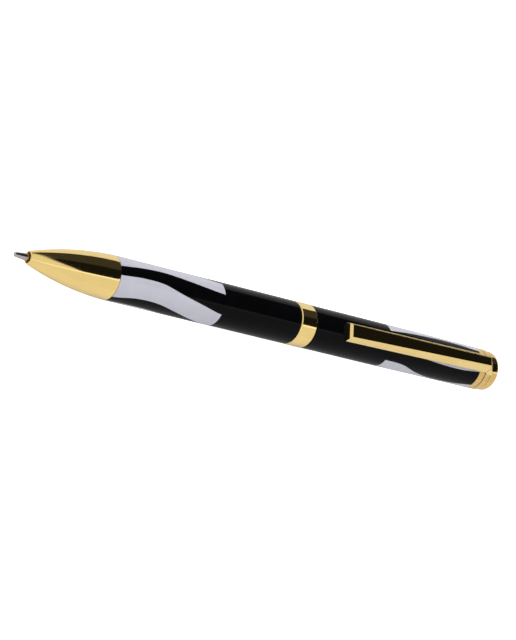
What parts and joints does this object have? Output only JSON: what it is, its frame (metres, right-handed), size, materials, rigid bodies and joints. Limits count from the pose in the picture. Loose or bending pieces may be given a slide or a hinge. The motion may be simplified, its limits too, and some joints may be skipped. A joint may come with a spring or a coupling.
{
  "type": "twist-action ballpoint pen",
  "caption": "Slim twist-action ballpoint pen: black lacquer barrel with white wave panels, gold-plated nose, centre band, finial and pocket clip; turning the upper half draws the point in.",
  "frame": {"origin": "on the pen's axis at the middle of the centre band", "axes": "+X along the pen from the writing ball to the finial, +Z from the axis to the clip, +Y to the far side"},
  "size_m": [0.142, 0.0106, 0.0138],
  "materials": {
    "gold_plate": "polished gold plate on brass",
    "black_lacquer": "glossy black lacquer on a brass tube",
    "white_lacquer": "glossy white lacquer, set flush",
    "bare_brass": "turned brass",
    "spring_steel": "bright drawn steel",
    "refill_metal": "satin plated tube",
    "point_metal": "turned nickel silver",
    "carbide": "ground tungsten carbide",
    "nylon": "moulded nylon",
    "ink": "blue-black paste ink"
  },
  "bodies": {
    "lower_half": {"nose_cone": "gold_plate", "lower_barrel": "black_lacquer", "lower_pattern": "white_lacquer", "lower_bush": "bare_brass", "return_spring": "spring_steel"},
    "refill": {"refill_tube": "refill_metal", "refill_nose": "nylon", "refill_point": "point_metal", "refill_cap": "nylon", "ink_column": "ink"},
    "ball": {"writing_ball": "carbide"},
    "mechanism": {"mech_housing": "bare_brass", "centre_band": "gold_plate", "retaining_ring": "spring_steel"},
    "pusher": {"pusher": "nylon", "follower_pin": "spring_steel"},
    "upper_half": {"cam_sleeve": "nylon", "upper_bush": "bare_brass", "upper_barrel": "black_lacquer", "upper_pattern": "white_lacquer", "end_plug": "bare_brass", "collar": "gold_plate", "clip_ring": "gold_plate", "finial": "gold_plate", "finial_stud": "point_metal"},
    "clip": {"clip": "gold_plate"}
  },
  "joints": [
    {"name": "halves_apart", "type": "slide", "parent": "lower_half", "child": "mechanism", "axis": [1, 0, 0], "range_m": [0, 0.06]},
    {"name": "twist", "type": "hinge", "parent": "mechanism", "child": "upper_half", "pos_m": [0, 0, 0], "axis": [1, 0, 0], "range_deg": [0, 150]},
    {"name": "pusher_slide", "type": "slide", "parent": "mechanism", "child": "pusher", "axis": [1, 0, 0], "range_m": [0, 0.0055]},
    {"name": "refill_slide", "type": "slide", "parent": "lower_half", "child": "refill", "axis": [1, 0, 0], "range_m": [0, 0.0055], "deforming": ["return_spring"]},
    {"name": "ball_roll", "type": "hinge", "parent": "refill", "child": "ball", "pos_m": [-0.0795, 0, 0], "axis": [0, 1, 0], "continuous": true},
    {"name": "clip_flex", "type": "hinge", "parent": "upper_half", "child": "clip", "pos_m": [0.0563, 0, 0.0079], "axis": [0, 1, 0], "range_deg": [0, 4], "stiffness_Nm_per_rad": 0.05}
  ],
  "couplings": [
    {"joint": "twist", "follows": "pusher_slide", "rad_per_m": 475.99},
    {"joint": "refill_slide", "follows": "pusher_slide", "ratio": 1}
  ]
}
